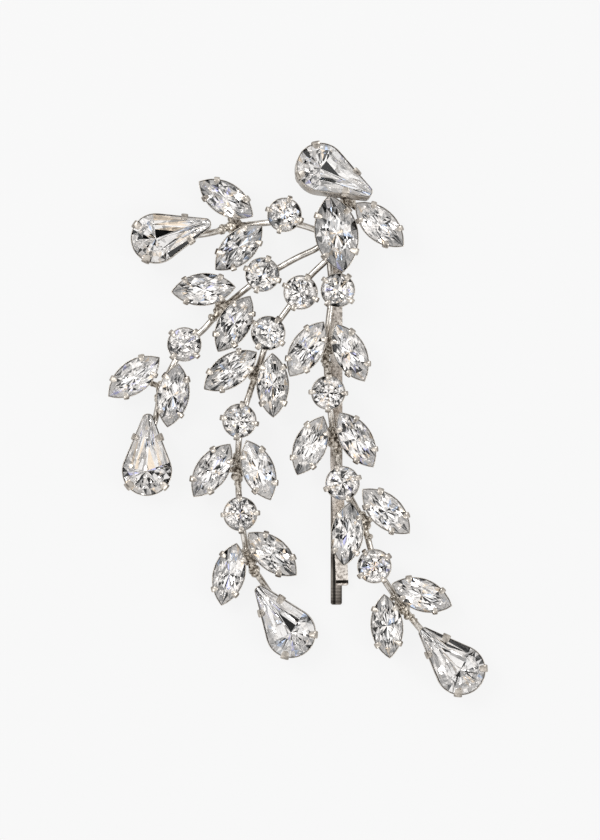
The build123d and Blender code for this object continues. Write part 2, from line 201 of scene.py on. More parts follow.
def addPaintedShade(tree, look, colour):
    # painted shade along a strip's groove and edges and between its ridges, and a painted dark line
    # across its end
    place = addNode(tree, "ShaderNodeTexCoord")
    axes = addNode(tree, "ShaderNodeSeparateXYZ")
    tree.links.new(place.outputs["Object"], axes.inputs["Vector"])
    for key, axis in (("across", "X"), ("along", "Y")):
        if key not in look:
            continue
        first, last = look[key][0][0], look[key][-1][0]
        reach = makeSpan(tree, axes.outputs[axis], first * mm, last * mm)
        profile = addNode(tree, "ShaderNodeValToRGB")
        fillRamp(profile, [((spot - first) / (last - first), grey(tone)) for spot, tone in look[key]])
        tree.links.new(reach.outputs["Result"], profile.inputs["Fac"])
        colour = multiply(tree, colour, profile.outputs["Color"])
    if "level" in look:
        low, high = look["level"]
        valley = makeSpan(tree, axes.outputs["Z"], low * mm, high * mm)
        valley.inputs["To Min"].default_value = look["valleyShade"]
        colour = multiply(tree, colour, valley.outputs["Result"])
    return colour


def addSolder(tree, look, colour, rough):
    # mottled, duller metal wherever the mesh says that solder has run
    where = addNode(tree, "ShaderNodeAttribute", attribute_name="solder")
    grain = makeNoise(tree, addNode(tree, "ShaderNodeTexCoord"), look["grain"], look["detail"])
    tones = addNode(tree, "ShaderNodeValToRGB")
    fillRamp(tones, look["tones"])
    mix = addNode(tree, "ShaderNodeMix", data_type="RGBA")
    dull = addNode(tree, "ShaderNodeMix", data_type="FLOAT")
    dull.inputs["B"].default_value = look["roughness"]
    link = tree.links.new
    link(grain.outputs["Fac"], tones.inputs["Fac"])
    link(where.outputs["Fac"], mix.inputs["Factor"])
    link(colour, mix.inputs["A"])
    link(tones.outputs["Color"], mix.inputs["B"])
    link(where.outputs["Fac"], dull.inputs["Factor"])
    link(rough, dull.inputs["A"])
    return mix.outputs["Result"], dull.outputs["Result"]


# In each look, the side tint is painted shade on the faces that don't look up.
cupLook = {
    "Patch Scale": 1100.0, "Scuff Scale": 5200.0, "Low Roughness": 0.22, "High Roughness": 0.45,
    "dark": (0.24, 0.215, 0.19), "light": (0.54, 0.5, 0.45),
    "sides": (0.9, 0.88, 0.86),                 # painted shade on the faces that don't look up
    "bump": 0.25, "bumpDepth": 0.02,
}
# the cup's inside: painted shade, near black, so that a dark line shows round each stone's girdle
insideShadeLook = {
    "Patch Scale": 1100.0, "Scuff Scale": 5200.0, "Low Roughness": 0.4, "High Roughness": 0.6,
    "dark": (0.02, 0.018, 0.016), "light": (0.07, 0.062, 0.055), "sides": (0.5, 0.5, 0.5),
    "bump": 0.25, "bumpDepth": 0.02,
}
wireLook = {
    "Patch Scale": 700.0, "Scuff Scale": 4200.0, "Low Roughness": 0.16, "High Roughness": 0.32,
    "dark": (0.40, 0.37, 0.33), "light": (0.74, 0.71, 0.67), "sides": (0.38, 0.345, 0.31),
    "bump": 0.3, "bumpDepth": 0.03,
    "solder": {
        "grain": 2600.0, "detail": 3.0, "roughness": 0.38,
        "tones": [(0.36, (0.09, 0.075, 0.06)), (0.44, (0.36, 0.32, 0.27)),
                  (0.58, (0.66, 0.61, 0.54))],
    },
}
frontLook = {
    "Patch Scale": 2400.0, "Scuff Scale": 3000.0, "Low Roughness": 0.26, "High Roughness": 0.45,
    "dark": (0.27, 0.235, 0.205), "light": (0.82, 0.76, 0.7), "sides": (0.42, 0.39, 0.36),
    "bump": 0.4, "bumpDepth": 0.03,
    "paintedShade": {                                  # a painted dark line across the leg near its tip: where it lies, and the tone there
        "along": [(-27.2, 1.0), (-26.64, 1.0), (-26.58, 0.06), (-26.2, 0.06), (-26.14, 1.0)],
    },
}
backLook = {
    "Patch Scale": 420.0, "Scuff Scale": 3000.0, "Low Roughness": 0.24, "High Roughness": 0.4,
    "dark": (0.19, 0.165, 0.145), "light": (0.40, 0.36, 0.32), "sides": (0.6, 0.56, 0.52),
    "bump": 0.3, "bumpDepth": 0.02,
    # painted shade across the leg: darkest in the groove, darker towards both edges
    "paintedShade": {
        "across": [(-0.9, 0.28), (-0.66, 0.75), (-0.56, 0.4), (-0.46, 0.12), (-0.14, 0.12),
                   (-0.08, 1.0), (0.55, 0.9), (0.7, 0.45), (0.9, 0.6)],
        "level": (0.37, 0.45), "valleyShade": 0.68,    # painted shade, from between the ridges to their tops
    },
}
cupMetal = makePlating("cupMetal", cupLook)
cupInsideShade = makePlating("cupInsideShade", insideShadeLook)
wireMetal = makePlating("wireMetal", wireLook)
frontSteel = makePlating("frontSteel", frontLook)
backSteel = makePlating("backSteel", backLook)

stoneLook = {
    "tint": (0.985, 0.99, 1.0),
    "ior": 1.56,
    "smearScale": 520.0,                        # finger marks on the crowns
    "smearSpan": (0.62, 0.85),
    "smearRoughness": 0.04,
    "foil": [                                   # share of facets and the painted reflection on the foil there: black, grey and white facets, and a few coloured glints of fire
        (0.0, grey(0.005)), (0.12, grey(0.1)), (0.17, grey(0.5)), (0.24, (0.82, 0.8, 0.78)),
        (0.42, (0.98, 0.955, 0.93)), (0.93, (0.66, 0.78, 1.0)), (0.945, (1.0, 0.85, 0.68)),
        (0.97, (0.66, 0.66, 1.0)), (0.98, (1.0, 0.98, 0.95)),
    ],
    "foilShine": {                              # mirror share of each cut's foil, and the painted glow it gives off
        "chaton": (0.95, 0.17), "leaf": (0.81, 0.22), "crownLeaf": (0.8, 0.22),
        "drop": (0.64, 0.28),
    },
    "mottleScale": 1600.0,
    "mottleDetail": 4.0,
    "mottleSpan": (0.35, 0.6),
    "mottleLeast": 0.86,                        # share of the foil's shine in its dull spots
}


def makeCrystal():
    # clear glass with the faintest smears
    material, shader = makeMaterial("crystal")
    tree = material.node_tree
    shader.inputs["Base Color"].default_value = (*stoneLook["tint"], 1.0)
    shader.inputs["Transmission Weight"].default_value = 1.0
    shader.inputs["IOR"].default_value = stoneLook["ior"]
    smear = makeNoise(tree, addNode(tree, "ShaderNodeTexCoord"), stoneLook["smearScale"])
    rough = makeSpan(tree, smear.outputs["Fac"], *stoneLook["smearSpan"])
    rough.inputs["To Max"].default_value = stoneLook["smearRoughness"]
    tree.links.new(rough.outputs["Result"], shader.inputs["Roughness"])
    return material


def makeFoil(kind):
    # silvered backs: each facet's foil gets a painted reflection tone, black, grey, white or a
    # coloured glint of fire, and a fine mottling from the foiling.
    # Part of the foil's brightness is a painted glow in its facet's tone, more on the long stones.
    mirror, glow = stoneLook["foilShine"][kind]
    material, shader = makeMaterial("foil_" + kind)
    tree = material.node_tree
    shader.inputs["Metallic"].default_value = 1.0
    shader.inputs["Roughness"].default_value = 0.0
    # painted glow: the foil shines in its facet's tone as though it were a lamp
    shader.inputs["Emission Strength"].default_value = glow
    # painted reflection: each facet's tone picks black, grey, white or a glint of fire
    tone = addNode(tree, "ShaderNodeAttribute", attribute_name="paintedFacetReflection")
    ramp = addNode(tree, "ShaderNodeValToRGB")
    fillRamp(ramp, stoneLook["foil"], "CONSTANT")
    mottle = makeNoise(tree, addNode(tree, "ShaderNodeTexCoord"), stoneLook["mottleScale"],
                       stoneLook["mottleDetail"])
    shade = makeSpan(tree, mottle.outputs["Fac"], *stoneLook["mottleSpan"])
    shade.inputs["To Min"].default_value = stoneLook["mottleLeast"] * mirror
    shade.inputs["To Max"].default_value = mirror
    tree.links.new(tone.outputs["Fac"], ramp.inputs["Fac"])
    mirrored = multiply(tree, ramp.outputs["Color"], shade.outputs["Result"])
    tree.links.new(mirrored, shader.inputs["Base Color"])
    tree.links.new(ramp.outputs["Color"], shader.inputs["Emission Color"])
    return material


crystal = makeCrystal()
foils = {kind: makeFoil(kind) for kind in stoneLook["foilShine"]}
print("finishes made")


# Where the stones sit, read from the CAD stones

def solidsOf(node):
    # a CAD node's closed solids: each one's corners, and the normal and area of its faces
    mesh = bmesh.new()
    mesh.from_mesh(node.data)
    bmesh.ops.remove_doubles(mesh, verts=mesh.verts, dist=weldGap)
    unseen = set(mesh.verts)
    solids = []
    for first in list(mesh.verts):
        if first not in unseen:
            continue
        unseen.discard(first)
        group, edge = [first], [first]
        while edge:
            here = edge.pop()
            for link in here.link_edges:
                there = link.other_vert(here)
                if there in unseen:
                    unseen.discard(there)
                    group.append(there)
                    edge.append(there)
        faces = {face for vert in group for face in vert.link_faces}
        corners = [vert.co.copy() for vert in sorted(group, key=lambda vert: vert.index)]
        flats = [(face.normal.copy(), face.calc_area())
                 for face in sorted(faces, key=lambda face: face.index)]
        solids.append((corners, flats))
    mesh.free()
    return solids


seatPlan = {
    "tableTilt": 0.9,          # a table's normal is at least this upright
    "girdleSlack": 0.01,       # corners this near the widest reach belong to the girdle
    "clawStandsOut": 0.4,      # the CAD claws lie this far outside the girdle, its cup less
    "crownLeafHalf": 2.7,      # a leaf with a half width over this is the crown's big one
}


class Seat:
    # one stone's place: the culet, the way up, the way along, and the stone's measured sizes
    def __init__(self, kind, corners, flats, metal):
        self.kind = kind
        shares = {}
        for normal, area in flats:
            if normal.z > seatPlan["tableTilt"]:
                key = tuple(round(part, 2) for part in normal)
                shares.setdefault(key, []).append((normal, area))
        table = max(shares.values(), key=lambda group: sum(area for normal, area in group))
        self.up = sum((normal * area for normal, area in table), Vector()).normalized()
        self.culet = min(corners, key=lambda corner: corner.dot(self.up))
        heights = [(corner - self.culet).dot(self.up) for corner in corners]
        flat = [corner - self.culet - self.up * height for corner, height in zip(corners, heights)]
        widest = max(flat, key=lambda offset: offset.length)
        along = self.clawPhase(metal, widest.length) if kind == "chaton" else -widest
        along -= self.up * along.dot(self.up)
        self.along = along.normalized()
        self.across = self.up.cross(self.along)
        self.length = max(offset.dot(-self.along) for offset in flat)
        self.halfWidth = max(offset.dot(self.across) for offset in flat)
        self.top = max(heights)
        slack = seatPlan["girdleSlack"] * mm
        girdle = [height for height, offset in zip(heights, flat)
                  if abs(offset.length - widest.length) < slack]
        self.pavilion, self.crownFoot = min(girdle), max(girdle)
        turn = Matrix((self.along, self.across, self.up)).transposed().to_4x4()
        self.matrix = Matrix.Translation(self.culet) @ turn

    def clawPhase(self, metal, girdle):
        # a round stone looks the same all round, so its turn is read from its cup's four claws
        pull = complex(0, 0)
        for corner in metal:
            offset = corner - self.culet
            offset -= self.up * offset.dot(self.up)
            if offset.length > girdle + seatPlan["clawStandsOut"] * mm:
                pull += complex(offset.x, offset.y) ** 4 / offset.length**4
        angle = (math.atan2(pull.imag, pull.real) - math.pi) / 4
        return Vector((math.cos(angle), math.sin(angle), 0))


def seatsOf(stoneNode):
    seats = []
    metal = [vert.co for vert in nodes[stoneNode.replace("_stone", "_setting")].data.vertices]
    for corners, flats in solidsOf(nodes[stoneNode]):
        kind = "chaton" if "chaton" in stoneNode else "drop" if "drop" in stoneNode else "leaf"
        seat = Seat(kind, corners, flats, metal)
        if kind == "leaf" and seat.halfWidth > seatPlan["crownLeafHalf"] * mm:
            seat.kind = "crownLeaf"
        seats.append(seat)
    return seats


stoneNodes = sorted(name for name in nodes if "_stone" in name)
seatsByNode = {name: seatsOf(name) for name in stoneNodes}
patternSeats = {}
for name in stoneNodes:
    for seat in seatsByNode[name]:
        patternSeats.setdefault(seat.kind, seat)
print("seats read:", sum(len(seats) for seats in seatsByNode.values()), sorted(patternSeats))


# Outlines of the cuts, in the plane of a stone's girdle

cutPlan = {
    "dropTipRadius": 0.85,
    "dropTipSteps": 0.25,      # share of a drop's steps that goes round its small tip
    "tableShare": {"chaton": 0.56, "leaf": 0.5, "crownLeaf": 0.5, "drop": 0.54},
}


class Cut:
    # the stone's outline grown outwards by some amount, about an origin over the culet
    def __init__(self, seat):
        self.kind, self.length, self.halfWidth = seat.kind, seat.length, seat.halfWidth
        self.pavilion, self.crownFoot, self.top = seat.pavilion, seat.crownFoot, seat.top
        self.arc = (self.length**2 + self.halfWidth**2) / (2 * self.halfWidth)
        self.arcOffset = self.arc - self.halfWidth
        self.tipRadius = cutPlan["dropTipRadius"] * mm
        if self.kind == "drop":
            self.tipOffset = self.length - self.tipRadius
            self.flank = math.acos((self.halfWidth - self.tipRadius) / self.tipOffset)

    def reach(self, angle, grow=0.0):
        # how far the outline lies from the culet's axis
        if self.kind == "chaton":
            return self.halfWidth + grow
        if self.kind == "drop":
            away = abs(angle % (2 * math.pi) - math.pi)      # turn away from the tip
            if away >= self.flank:
                return self.halfWidth + grow
            tip = self.tipRadius + grow
            if away >= self.tipEdge(tip):
                return (self.halfWidth + grow) / math.cos(away - self.flank)
            aside = self.tipOffset * math.sin(away)
            return self.tipOffset * math.cos(away) + math.sqrt(max(tip**2 - aside**2, 0.0))
        run = self.arcOffset * math.cos(angle)
        return math.sqrt((self.arc + grow) ** 2 - run**2) - self.arcOffset * abs(math.sin(angle))

    def facing(self, angle):
        # the way the outline faces there
        if self.kind == "chaton":
            return angle
        if self.kind == "drop":
            away = angle % (2 * math.pi) - math.pi
            if abs(away) >= self.flank:
                return angle
            return math.pi + math.copysign(self.flank, away)
        x, y = self.reach(angle) * math.cos(angle), self.reach(angle) * math.sin(angle)
        return math.atan2(y + math.copysign(self.arcOffset, y), x)

    def point(self, angle, grow=0.0, share=1.0, height=0.0):
        reach = self.reach(angle, grow) * share
        return Vector((reach * math.cos(angle), reach * math.sin(angle), height))

    def directions(self, count):
        # evenly spread round the outline, closer together on the tight bends
        turns = [2 * math.pi * step / count for step in range(count)]
        if self.kind == "chaton":
            return turns
        if self.kind == "drop":
            return [self.dropTurn(turn) for turn in turns]
        return [math.atan2(self.halfWidth * math.sin(turn), self.length * math.cos(turn))
                for turn in turns]

    def tipEdge(self, radius):
        # the turn, counted from the round end, at which a flank meets the tip
        return math.atan2(radius * math.sin(self.flank),
                          self.tipOffset + radius * math.cos(self.flank))

    def dropTurn(self, turn):
        # some steps go round the small tip, the rest round the big end, and none on the flanks
        away = (turn + math.pi) % (2 * math.pi) - math.pi
        side = math.copysign(1.0, away) if away else 1.0
        tipTurn = math.pi * cutPlan["dropTipSteps"]
        if abs(away) > math.pi - tipTurn:
            left = (math.pi - abs(away)) / tipTurn
            return side * (math.pi - self.tipEdge(self.tipRadius) * left)
        return side * abs(away) / (math.pi - tipTurn) * (math.pi - self.flank)


cuts = {kind: Cut(seat) for kind, seat in patternSeats.items()}


# Stones, cut as brilliants

stonePlan = {
    "girdle": {"chaton": 20, "leaf": 24, "crownLeaf": 24, "drop": 24},
    "crownMiddle": 0.5,        # how far out the stars reach between table and girdle
    "breaks": (0.32, 0.66),    # how far out the lower facets break
    "unevenness": 0.12,        # every second break lies this much closer in
    "keelReach": 0.2,          # and they lie further out along a pointed stone
    "keelDepth": 0.5,          # and lower
    "hollow": 0.2,             # the lower side is this much flatter than a plain cone
    "grow": {"chaton": 0.07, "leaf": 0.03, "crownLeaf": 0.03, "drop": 0.03},    # fills its cup
    "seedStep": 17,            # each node's facets draw their painted reflection tones from their own seed
}


def pointedness(kind, turn):
    # 1 towards a stone's tip, 0 across it
    if kind == "chaton":
        return 0.0
    return max(-math.cos(turn), 0.0) if kind == "drop" else abs(math.cos(turn))


def makeStonePattern(cut):
    # table, stars, kites and halves above; three rows of facets below, in the cut's own frame
    plan = stonePlan
    count = plan["girdle"][cut.kind]
    half = count // 2
    angles = cut.directions(count)
    share = cutPlan["tableShare"][cut.kind]
    grow = plan["grow"][cut.kind] * mm
    low = [cut.point(angle, grow=grow, height=cut.pavilion) for angle in angles]
    high = [cut.point(angle, grow=grow, height=cut.crownFoot) for angle in angles]
    table = [cut.point(angles[step], share=share, height=cut.top) for step in range(0, count, 2)]
    stars, breaks = [], []
    bridge = share + (1 - share) * plan["crownMiddle"]
    for step in range(1, count, 2):
        chord = (high[step - 1] + high[(step + 1) % count]) / 2
        outer = high[step]
        flatness = Vector((chord.x, chord.y)).length / Vector((outer.x, outer.y)).length
        slope = 1 - (bridge * flatness - share) / (1 - share)
        rise = (cut.top - cut.crownFoot) * slope
        stars.append(Vector((outer.x * bridge, outer.y * bridge, cut.crownFoot + rise)))
    for row, middle in enumerate(plan["breaks"]):
        for step, corner in enumerate(low):
            pointed = pointedness(cut.kind, 2 * math.pi * step / count)
            closer = plan["unevenness"] * ((step + row) % 2)
            reach = middle * (1 - closer) + plan["keelReach"] * pointed * (1 - middle)
            sink = reach + (plan["hollow"] - plan["keelDepth"] * pointed) * reach * (1 - reach)
            breaks.append(Vector((corner.x * reach, corner.y * reach, cut.pavilion * sink)))
    corners = [*low, *high, *breaks, *table, *stars, Vector((0, 0, 0))]
    lowAt, highAt, innerAt, outerAt, tableAt = range(0, 5 * count, count)
    starAt = tableAt + half
    culet = len(corners) - 1
    faces = [[tableAt + step for step in range(half)]]
    foiled = [False]
    for step in range(half):
        here, between, there = 2 * step, 2 * step + 1, (2 * step + 2) % count
        nextTable = tableAt + (step + 1) % half
        crown = [
            (tableAt + step, starAt + step, nextTable),
            (tableAt + step, highAt + here, starAt + step),
            (nextTable, starAt + step, highAt + there),
            (starAt + step, highAt + here, highAt + between),
            (starAt + step, highAt + between, highAt + there),
        ]
        pavilion = [
            (lowAt + here, lowAt + between, highAt + between, highAt + here),
            (lowAt + between, lowAt + there, highAt + there, highAt + between),
            (culet, innerAt + between, innerAt + here),
            (culet, innerAt + there, innerAt + between),
        ]
        for inner, outer, odd in ((innerAt, outerAt, 0), (outerAt, lowAt, 1)):
            for first, second in ((here, between), (between, there)):
                if (first + odd) % 2:
                    pavilion += [(inner + first, inner + second, outer + first),
                                 (inner + second, outer + second, outer + first)]
                else:
                    pavilion += [(inner + first, inner + second, outer + second),
                                 (inner + first, outer + second, outer + first)]
        faces += crown + pavilion
        foiled += [False] * len(crown) + [True] * len(pavilion)
    mesh = bpy.data.meshes.new("cut_" + cut.kind)
    mesh.from_pydata([tuple(corner) for corner in corners], [], faces)
    mark = mesh.attributes.new("foiled", "BOOLEAN", "FACE")
    mark.data.foreach_set("value", foiled)
    return addToScene("cut_" + cut.kind, mesh)


def makeSeatingTree(name, inputs):
    # the start of a node tree that sets one pattern on every point, turned as the point says
    tree = bpy.data.node_groups.new(name, "GeometryNodeTree")
    sockets = makeSockets(tree, [("Geometry", "Geometry"), ("Pattern", "Object"), *inputs],
                          [("Geometry", "Geometry")])
    given = addNode(tree, "NodeGroupInput")
    pattern = addNode(tree, "GeometryNodeObjectInfo")
    turn = addNode(tree, "GeometryNodeInputNamedAttribute", data_type="FLOAT_VECTOR")
    turn.inputs["Name"].default_value = "turn"
    place = addNode(tree, "GeometryNodeInstanceOnPoints")
    solid = addNode(tree, "GeometryNodeRealizeInstances")
    link = tree.links.new
    link(given.outputs["Pattern"], pattern.inputs["Object"])
    link(given.outputs["Geometry"], place.inputs["Points"])
    link(pattern.outputs["Geometry"], place.inputs["Instance"])
    link(turn.outputs["Attribute"], place.inputs["Rotation"])
    link(place.outputs["Instances"], solid.inputs["Geometry"])
    return tree, sockets, given, place, solid


def makeStoneTree():
    # a cut stone on every seat, and a painted reflection tone for each facet's foil
    tree, sockets, given, place, solid = makeSeatingTree("setStones", [
        ("Facet Seed", "Int"), ("Crystal", "Material"), ("Foil", "Material")])
    result = addNode(tree, "NodeGroupOutput")
    chance = addNode(tree, "FunctionNodeRandomValue", data_type="FLOAT")
    store = addNode(tree, "GeometryNodeStoreNamedAttribute", data_type="FLOAT", domain="FACE")
    store.inputs["Name"].default_value = "paintedFacetReflection"
    foiled = addNode(tree, "GeometryNodeInputNamedAttribute", data_type="BOOLEAN")
    foiled.inputs["Name"].default_value = "foiled"
    clear = addNode(tree, "GeometryNodeSetMaterial")
    backed = addNode(tree, "GeometryNodeSetMaterial")
    link = tree.links.new
    link(given.outputs["Facet Seed"], chance.inputs["Seed"])
    link(solid.outputs["Geometry"], store.inputs["Geometry"])
    link(chance.outputs["Value"], [socket for socket in store.inputs if socket.name == "Value"][0])
    link(store.outputs["Geometry"], clear.inputs["Geometry"])
    link(given.outputs["Crystal"], clear.inputs["Material"])
    link(clear.outputs["Geometry"], backed.inputs["Geometry"])
    link(foiled.outputs["Attribute"], backed.inputs["Selection"])
    link(given.outputs["Foil"], backed.inputs["Material"])
    link(backed.outputs["Geometry"], result.inputs["Geometry"])
    return tree, sockets


def pointsObject(name, places):
    # loose points, each carrying the turn of what will stand on it
    mesh = bpy.data.meshes.new(name)
    mesh.from_pydata([tuple(place.translation) for place in places], [], [])
    turns = mesh.attributes.new("turn", "FLOAT_VECTOR", "POINT")
    flat = [part for place in places for part in place.to_euler()]
    turns.data.foreach_set("vector", flat)
    return addToScene(name, mesh)


def bakeTree(thing, tree, values):
    # runs a node tree on an object once and keeps the plain mesh
    modifier = thing.modifiers.new("nodes", "NODES")
    modifier.node_group = tree
    for identifier, value in values.items():
        modifier[identifier] = value
    bpy.context.view_layer.update()
    graph = bpy.context.evaluated_depsgraph_get()
    mesh = bpy.data.meshes.new_from_object(thing.evaluated_get(graph))
    thing.modifiers.remove(modifier)
    return mesh


def joinMeshes(name, meshes):
    # several plain meshes as one, keeping each face's material
    things = [addToScene(name + "_part", mesh) for mesh in meshes]
    bpy.ops.object.select_all(action="DESELECT")
    for thing in things:
        thing.select_set(True)
    bpy.context.view_layer.objects.active = things[0]
    if len(things) > 1:
        bpy.ops.object.join()
    things[0].name = name
    things[0].data.name = name
    return things[0]


stoneTree, stoneSockets = makeStoneTree()
stonePatterns = {kind: makeStonePattern(cut) for kind, cut in cuts.items()}
for count, name in enumerate(stoneNodes):
    meshes = []
    for seat in seatsByNode[name]:
        points = pointsObject(name + "_seat", [seat.matrix])
        meshes.append(bakeTree(points, stoneTree, {
            stoneSockets["Pattern"]: stonePatterns[seat.kind],
            stoneSockets["Facet Seed"]: stonePlan["seedStep"] * count + len(meshes),
            stoneSockets["Crystal"]: crystal,
            stoneSockets["Foil"]: foils[seat.kind],
        }))
        bpy.data.objects.remove(points)
    piece = joinMeshes(name.replace("_stone", "_crystal"), meshes)
    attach(piece, "spray")
    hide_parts(name)
for pattern in stonePatterns.values():
    bpy.data.objects.remove(pattern)
print("stones cut and set:", len(stoneNodes))


# Settings: a stamped cup, and claws folded over the stone

settingPlan = {
    "overStone": 0.2,          # metal outside the stone's girdle
    "wall": 0.13,
    "floor": 0.3,
    "underCulet": 0.12,        # air between the floor and the culet
    "rim": 0.1,                # rim above the girdle
    "baseInset": {"chaton": 0.5, "leaf": 0.5, "crownLeaf": 0.4, "drop": 0.05},
    "waist": 0.4,              # the cup bends at this share of the girdle's height
    "outlineSteps": 64,
    # the profile: share of the base inset, step out from the wall, a level, height above it
    "outside": [(1, -0.12, "base", 0), (1, 0, "base", 0.1), (0.45, 0, "waist", 0),
                (0, 0, "seat", 0), (0, 0, "rim", -0.06), (0, -0.03, "rim", -0.01),
                (0, -0.07, "rim", 0)],
    "inside": [(0, 0.03, "rim", -0.02), (0, 0, "rim", -0.07), (0, 0, "seat", 0.02),
               (0.5, 0, "waist", 0), (1, 0, "floor", 0)],
    "smoothAngle": 50,         # degrees; sharper bends stay creased
}
clawPlan = {
    "angles": {"chaton": (45, 135, 225, 315), "leaf": (33, 147, 213, 327),
               "crownLeaf": (38, 142, 218, 322), "drop": (50, 310, 158, 202)},
    "width": {"chaton": 0.8, "leaf": 0.9, "crownLeaf": 1.1, "drop": 1.2},
    "widthSpread": 0.12,       # share by which single claws are wider or narrower
    "reach": {"chaton": 0.62, "leaf": 0.72, "crownLeaf": 0.9, "drop": 0.95},
    "stand": {"chaton": 0.5, "leaf": 0.34, "crownLeaf": 0.34, "drop": 0.34},    # outside the wall
    "thick": 0.26,
    "thinnest": 0.6,           # share of the thickness left at the very tip
    "section": [(-1, -0.55), (-0.8, -1), (0.8, -1), (1, -0.55), (1, 0.35), (0.72, 0.9), (0.3, 1.0),
                (-0.3, 1.0), (-0.72, 0.9), (-1, 0.35)],
    "seedStep": 31,
}


def plainMesh(name, corners, faces, material):
    mesh = bpy.data.meshes.new(name)
    mesh.from_pydata([tuple(corner) for corner in corners], [], faces)
    mesh.materials.append(material)
    return mesh


def makeCup(cut):
    # rings from the middle of the base, up the outside, over the rim and down to the floor
    plan = settingPlan
    bottom = -(plan["floor"] + plan["underCulet"]) * mm
    levels = {"base": bottom, "floor": bottom + plan["floor"] * mm,
              "waist": cut.pavilion * plan["waist"], "seat": cut.pavilion,
              "rim": cut.crownFoot + plan["rim"] * mm}
    inset = plan["baseInset"][cut.kind]
    rings = []                                   # how far outside the girdle, and how high
    for profile, wall in ((plan["outside"], 0.0), (plan["inside"], plan["wall"])):
        metal = plan["overStone"] - wall
        rings += [((metal - inset * share + aside) * mm, levels[level] + above * mm)
                  for share, aside, level, above in profile]
    angles = cut.directions(plan["outlineSteps"])
    count = len(angles)
    corners = [cut.point(angle, grow=grow, height=height)
               for grow, height in rings for angle in angles]
    corners += [Vector((0, 0, levels["base"])), Vector((0, 0, levels["floor"]))]
    faces, inside = [], []
    for ring in range(len(rings) - 1):
        for step in range(count):
            here, there = ring * count + step, ring * count + (step + 1) % count
            faces.append((here, there, there + count, here + count))
            inside.append(ring >= len(plan["outside"]))
    last = (len(rings) - 1) * count
    for step in range(count):
        there = (step + 1) % count
        faces.append((len(corners) - 2, there, step))
        faces.append((len(corners) - 1, last + step, last + there))
        inside += [False, True]
    mesh = plainMesh("cup_" + cut.kind, corners, faces, cupMetal)
    mesh.materials.append(cupInsideShade)
    # the faces inside the cup take the painted-shade material
    mesh.polygons.foreach_set("material_index", [int(dark) for dark in inside])
    return mesh


def makeClaw(cut):
    # a strap up the cup's side that bends in over the girdle and rests on the crown
    plan = clawPlan
    width, reach, stand = [plan[key][cut.kind] * mm for key in ("width", "reach", "stand")]
    thick = plan["thick"] * mm
    drop = (settingPlan["floor"] + settingPlan["underCulet"]) * mm
    inset = settingPlan["baseInset"][cut.kind] * mm
    tableShare = cutPlan["tableShare"][cut.kind]
    slope = (cut.top - cut.crownFoot) / ((1 - tableShare) * cut.halfWidth)
    seat, foot = cut.pavilion, cut.crownFoot
    rest = foot + slope * (reach - settingPlan["overStone"] * mm)
    spine = [                                    # how far outside the wall, height, width share
        (-inset * 0.9, -drop * 0.3, 0.75), (-0.12 * mm, seat * 0.45, 0.85),
        (stand * 0.45, seat * 0.9, 1.0), (stand * 0.6, foot + 0.05 * mm, 1.0),
        (stand * 0.42, foot + 0.28 * mm, 0.98), (stand * 0.05, foot + 0.42 * mm, 0.94),
        (-0.25 * mm, foot + 0.2 * mm + slope * 0.1 * mm, 0.9),
        (-reach * 0.7, rest - slope * reach * 0.3 + thick * 0.5, 0.84),
        (-reach, rest + thick * 0.35, 0.6), (-reach - 0.1 * mm, rest + thick * 0.2, 0.2),
    ]
    corners, faces = [], []
    for step, (x, z, share) in enumerate(spine):
        before = spine[max(step - 1, 0)]
        after = spine[min(step + 1, len(spine) - 1)]
        run = Vector((after[0] - before[0], 0, after[1] - before[1])).normalized()
        outward = Vector((run.z, 0, -run.x))
        halfThick = thick / 2 * (plan["thinnest"] + (1 - plan["thinnest"]) * share)
        for side, lift in plan["section"]:
            aside = Vector((0, side * width / 2 * share, 0))
            corners.append(Vector((x, 0, z)) + outward * lift * halfThick + aside)
    ring = len(plan["section"])
    for step in range(len(spine) - 1):
        for part in range(ring):
            here, there = step * ring + part, step * ring + (part + 1) % ring
            faces.append((here, here + ring, there + ring, there))
    faces.append(tuple(range(ring)))
    faces.append(tuple(reversed(range((len(spine) - 1) * ring, len(spine) * ring))))
    mesh = plainMesh("claw_" + cut.kind, corners, faces, cupMetal)
    shape = bmesh.new()
    shape.from_mesh(mesh)
    bmesh.ops.recalc_face_normals(shape, faces=shape.faces)
    shape.to_mesh(mesh)
    shape.free()
    return addToScene("claw_" + cut.kind, mesh)


def makeClawTree():
    # the same claw on every claw point, a little wider or narrower each time
    tree, sockets, given, place, solid = makeSeatingTree("foldClaws", [
        ("Claw Width", "Float"), ("Width Spread", "Float"), ("Seed", "Int"), ("Metal", "Material")])
    result = addNode(tree, "NodeGroupOutput")
    least = addNode(tree, "ShaderNodeMath", operation="SUBTRACT")
    most = addNode(tree, "ShaderNodeMath", operation="ADD")
    chance = addNode(tree, "FunctionNodeRandomValue", data_type="FLOAT")
    size = addNode(tree, "ShaderNodeCombineXYZ")
    size.inputs["X"].default_value = 1.0
    size.inputs["Z"].default_value = 1.0
    finish = addNode(tree, "GeometryNodeSetMaterial")
    low, high = [socket for socket in chance.inputs
                 if socket.name in ("Min", "Max") and socket.type == "VALUE"][:2]
    width = [socket for socket in chance.outputs if socket.type == "VALUE"][0]
    link = tree.links.new
    for limit in (least, most):
        link(given.outputs["Claw Width"], limit.inputs[0])
        link(given.outputs["Width Spread"], limit.inputs[1])
    link(least.outputs["Value"], low)
    link(most.outputs["Value"], high)
    link(given.outputs["Seed"], chance.inputs["Seed"])
    link(width, size.inputs["Y"])
    link(size.outputs["Vector"], place.inputs["Scale"])
    link(solid.outputs["Geometry"], finish.inputs["Geometry"])
    link(given.outputs["Metal"], finish.inputs["Material"])
    link(finish.outputs["Geometry"], result.inputs["Geometry"])
    return tree, sockets


